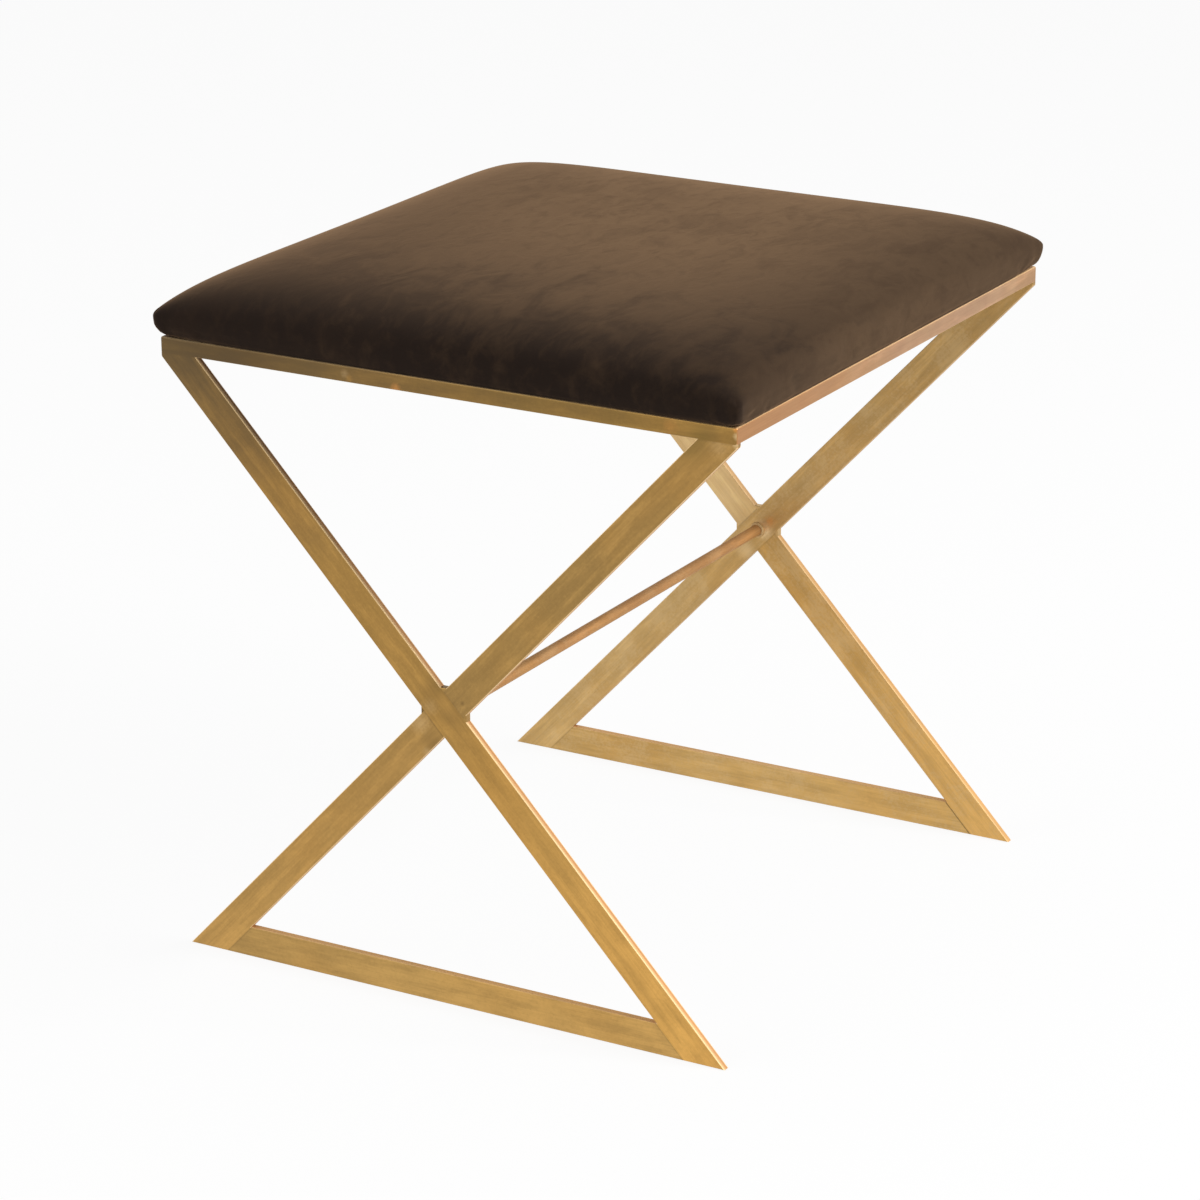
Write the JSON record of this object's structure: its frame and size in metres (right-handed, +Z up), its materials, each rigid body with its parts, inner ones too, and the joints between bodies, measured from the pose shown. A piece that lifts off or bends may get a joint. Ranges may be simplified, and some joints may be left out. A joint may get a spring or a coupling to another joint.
{
  "type": "x frame stool",
  "caption": "Square stool with a padded velvet slip seat on two welded X frames of flat brass-finished bar, tied by top rails and a round stretcher rod.",
  "frame": {"origin": "on the floor, under the middle of the frame", "axes": "+X to the right along the front X frame, +Y from the front X frame to the back one, +Z up"},
  "size_m": [0.5092, 0.5296, 0.5543],
  "materials": {
    "frame_metal": "satin",
    "zinc_steel": "satin",
    "plywood": "matte",
    "foam": "matte",
    "velvet": "matte",
    "dust_cloth": "matte"
  },
  "bodies": {
    "root": {"front_leg_long": "frame_metal", "front_leg_lower": "frame_metal", "front_leg_upper": "frame_metal", "front_foot_bar": "frame_metal", "front_cross_welds": "frame_metal", "back_leg_long": "frame_metal", "back_leg_lower": "frame_metal", "back_leg_upper": "frame_metal", "back_foot_bar": "frame_metal", "back_cross_welds": "frame_metal", "front_rail": "frame_metal", "back_rail": "frame_metal", "left_rail": "frame_metal", "right_rail": "frame_metal", "stretcher_rod": "frame_metal", "stretcher_welds": "frame_metal", "corner_plate_front_left": "frame_metal", "corner_plate_front_right": "frame_metal", "corner_plate_back_left": "frame_metal", "corner_plate_back_right": "frame_metal", "seat_washers": "zinc_steel", "seat_screws": "zinc_steel", "seat_board": "plywood", "seat_foam": "foam", "seat_cover": "velvet", "dust_cover": "dust_cloth", "cover_staples": "zinc_steel", "dust_cover_staples": "zinc_steel"}
  },
  "joints": []
}
